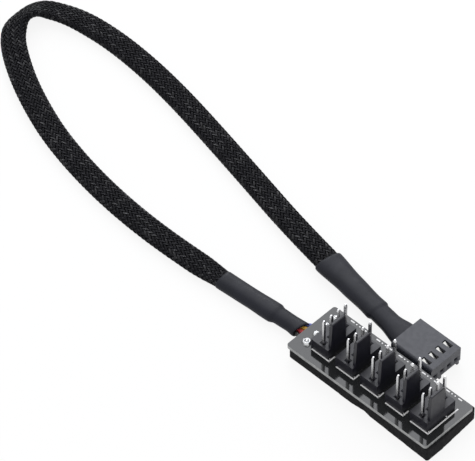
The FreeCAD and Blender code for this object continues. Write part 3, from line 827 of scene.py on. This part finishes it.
def board_material():
    """Glossy black solder mask on the flat sides, pale glass laminate at the edges."""
    made, tree, shader = material("board_mask", (0.012, 0.013, 0.014), MASK_ROUGHNESS, ior=1.6)
    surface = tree.nodes.new("ShaderNodeNewGeometry")
    split = tree.nodes.new("ShaderNodeSeparateXYZ")
    tree.links.new(surface.outputs["Normal"], split.inputs["Vector"])
    upright = math_socket(tree, "ABSOLUTE", split.outputs["Z"])
    edge = math_socket(tree, "LESS_THAN", upright, number=EDGE_UPRIGHT)
    layers = noise_socket(tree, scale=700, detail=4.0)
    mask = tone_socket(tree, layers, low=(0.010, 0.011, 0.012), high=(0.016, 0.017, 0.018))
    laminate = tone_socket(tree, layers, low=(0.24, 0.245, 0.245), high=(0.38, 0.385, 0.38),
                           span=LAMINATE_SPAN)
    mix = tree.nodes.new("ShaderNodeMix")
    mix.data_type = "RGBA"
    tree.links.new(edge, mix.inputs["Factor"])
    tree.links.new(mask, mix.inputs[MIX_FIRST])
    tree.links.new(laminate, mix.inputs[MIX_SECOND])
    tree.links.new(mix.outputs[MIX_RESULT], shader.inputs["Base Color"])
    roughness = range_socket(tree, edge, MASK_ROUGHNESS, LAMINATE_ROUGHNESS)
    tree.links.new(roughness, shader.inputs["Roughness"])
    noise_bump(tree, shader, scale=900, strength=0.03, distance=0.02 * MM)
    return made


def braid_material():
    """Black monofilament, two rounded filaments to a strand, some passes shinier than others."""
    made, tree, shader = material("sleeve_filament", (0.009, 0.009, 0.011), roughness=0.32)
    vary_colour(tree, shader, scale=900, low=(0.0075, 0.0075, 0.0095), high=(0.0125, 0.0125, 0.0155))
    vary_roughness(tree, shader, scale=1500, low=0.26, high=0.42)
    gloss = range_socket(tree, attribute_socket(tree, "sheen"), low=0.06, high=0.26)
    tree.links.new(gloss, shader.inputs["Specular IOR Level"])
    turns = math_socket(tree, "MULTIPLY", attribute_socket(tree, "across"), number=2 * math.pi)
    wave = math_socket(tree, "SINE", turns)
    ridge = math_socket(tree, "ABSOLUTE", wave)
    add_bump(tree, shader, ridge, strength=0.8, distance=0.12 * MM)
    return made


def shrink_material():
    """Satin polyolefin tube with a faint blue cast."""
    made, tree, shader = material("heat_shrink_satin", (0.010, 0.011, 0.017), roughness=0.5, specular=0.2)
    vary_colour(tree, shader, scale=160, low=(0.009, 0.010, 0.015), high=(0.012, 0.013, 0.020))
    vary_roughness(tree, shader, scale=350, low=0.42, high=0.52)
    noise_bump(tree, shader, scale=900, strength=0.2, distance=0.04 * MM, detail=4.0)
    return made


def foam_material():
    """Matte black closed-cell foam with fine pores."""
    made, tree, shader = material("foam_cells", (0.011, 0.011, 0.012), roughness=0.85, specular=0.15)
    vary_colour(tree, shader, scale=900, low=(0.007, 0.007, 0.008), high=(0.015, 0.015, 0.016))
    place = tree.nodes.new("ShaderNodeTexCoord")
    cells = tree.nodes.new("ShaderNodeTexVoronoi")
    cells.inputs["Scale"].default_value = 3200
    tree.links.new(place.outputs["Object"], cells.inputs["Vector"])
    add_bump(tree, shader, cells.outputs["Distance"], strength=0.7, distance=0.08 * MM)
    return made


def wire_material(colour):
    """Extruded insulation with a slight sheen."""
    tone = WIRE_TONES[colour]
    made, tree, shader = material("insulation_" + colour, tone, roughness=0.4)
    vary_colour(tree, shader, scale=700, low=tuple(c * WIRE_SHADE for c in tone), high=tone)
    vary_roughness(tree, shader, scale=1200, low=0.34, high=0.48)
    noise_bump(tree, shader, scale=2600, strength=0.15, distance=0.03 * MM)
    return made


def ink_material():
    """White printing ink."""
    made, tree, shader = material("white_ink", (0.94, 0.94, 0.94), roughness=0.6)
    vary_colour(tree, shader, scale=1800, low=(0.9, 0.9, 0.91), high=(0.96, 0.96, 0.96))
    noise_bump(tree, shader, scale=6000, strength=0.3, distance=0.01 * MM)
    return made


def solder_material():
    """Bright solder, slightly wrinkled where it set."""
    made, tree, shader = material("solder_bright", (0.66, 0.67, 0.68), roughness=0.18, metallic=1.0)
    vary_roughness(tree, shader, scale=1600, low=0.1, high=0.3)
    noise_bump(tree, shader, scale=1500, strength=0.35, distance=0.1 * MM, detail=3.0)
    return made


def dress(piece, made):
    """One material on a whole piece."""
    piece.data.materials.clear()
    piece.data.materials.append(made)


add_camera()
route = Line(nurbs_points("route", [Vector(p) * MM for p in ROUTE], ROUTE_DETAIL))
sleeve, sleeve_path = build_sleeve(route)
wires = build_wires(route)
board_tube = build_shrink("heat_shrink_at_board", "heat_shrink_board_end", route,
                          BOARD_TUBE_START * MM, BOARD_TUBE_END * MM, BOARD_TUBE, slant=MOUTH_SLANT)
plug_tube = build_shrink("heat_shrink_at_plug", "heat_shrink_plug_end", route,
                         route.length - PLUG_TUBE_LENGTH * MM, route.length, PLUG_TUBE, end_side=PLUG_SIDE)
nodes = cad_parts
plug = nodes["plug_housing"]
terminals = [nodes["plug_terminal_%d" % (i + 1)] for i in range(len(WIRE_COLOURS))]

mounds = build_mounds()
ink = build_ink()
foam = build_foam()

dress(sleeve, braid_material())
tube_material = shrink_material()
dress(board_tube, tube_material)
dress(plug_tube, tube_material)
for wire, colour in zip(wires, WIRE_COLOURS):
    dress(wire, wire_material(colour))
dress(mounds, solder_material())
dress(ink, ink_material())
dress(foam, foam_material())
dress(nodes["board"], board_material())
dress(nodes["pin_solder"], solder_material())
header_plastic = moulded_plastic("header_nylon", low=(0.007, 0.007, 0.012), high=(0.010, 0.010, 0.017),
                                 roughness=0.38, grain_scale=3500)
pin_metal = bright_metal("pin_tin", (0.68, 0.68, 0.69), roughness=0.27)
for name, node in nodes.items():
    if name.endswith("_housing") and name.startswith("header"):
        dress(node, header_plastic)
        soften_edges(node, EDGE_BEVEL)
    elif "_pin_" in name:
        dress(node, pin_metal)
        soften_edges(node, PIN_BEVEL)
plug_plastic = moulded_plastic("plug_nylon", low=(0.026, 0.028, 0.039), high=(0.033, 0.035, 0.047),
                               roughness=0.42, grain_scale=3000)
dress(plug, plug_plastic)
soften_edges(plug, EDGE_BEVEL)
terminal_metal = bright_metal("terminal_strip", (0.86, 0.86, 0.84), roughness=0.2)
for terminal in terminals:
    dress(terminal, terminal_metal)

add_world()
add_floor()
add_softbox("back_softbox", SOFTBOX_DIRECTION, SOFTBOX_DISTANCE, SOFTBOX_SIZE, SOFTBOX_RADIANCE)
add_softbox("rim_softbox", RIM_DIRECTION, RIM_DISTANCE, RIM_SIZE, RIM_RADIANCE)
bpy.context.scene.view_settings.view_transform = "Standard"
